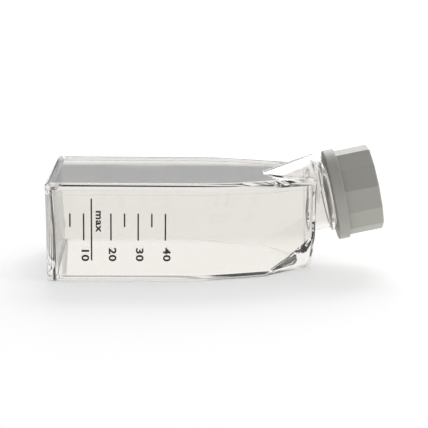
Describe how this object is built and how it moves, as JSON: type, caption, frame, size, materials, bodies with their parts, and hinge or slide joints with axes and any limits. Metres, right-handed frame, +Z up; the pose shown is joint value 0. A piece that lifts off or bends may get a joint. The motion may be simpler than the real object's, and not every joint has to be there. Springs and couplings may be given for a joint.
{
  "type": "cell culture flask",
  "caption": "Clear rectangular tissue culture flask with a tapered front, a canted neck and a vented grey screw cap.",
  "frame": {"origin": "on the flat base, halfway along the top plate, on the centre line", "axes": "+X from the back of the flask towards the neck, +Z up from the base, +Y completes the right-handed frame"},
  "size_m": [0.102, 0.05, 0.0368],
  "materials": {
    "clear_polystyrene": "clear, polished moulding",
    "grey_polyethylene": "satin moulded",
    "white_membrane": "matte porous film"
  },
  "bodies": {
    "flask": {"flask_tray": "clear_polystyrene", "top_plate": "clear_polystyrene"},
    "cap_carriage": {"filter_disc": "white_membrane"},
    "cap": {"screw_cap": "grey_polyethylene"}
  },
  "joints": [
    {"name": "cap_travel", "type": "slide", "parent": "flask", "child": "cap_carriage", "axis": [0.9781, 0, 0.2079], "range_m": [0, 0.0175]},
    {"name": "cap_turn", "type": "hinge", "parent": "cap_carriage", "child": "cap", "pos_m": [0.04584, 0, 0.02145], "axis": [0.9781, 0, 0.2079], "range_deg": [0, 700]}
  ],
  "couplings": [
    {"joint": "cap_turn", "follows": "cap_travel", "rad_per_m": 698.13}
  ]
}
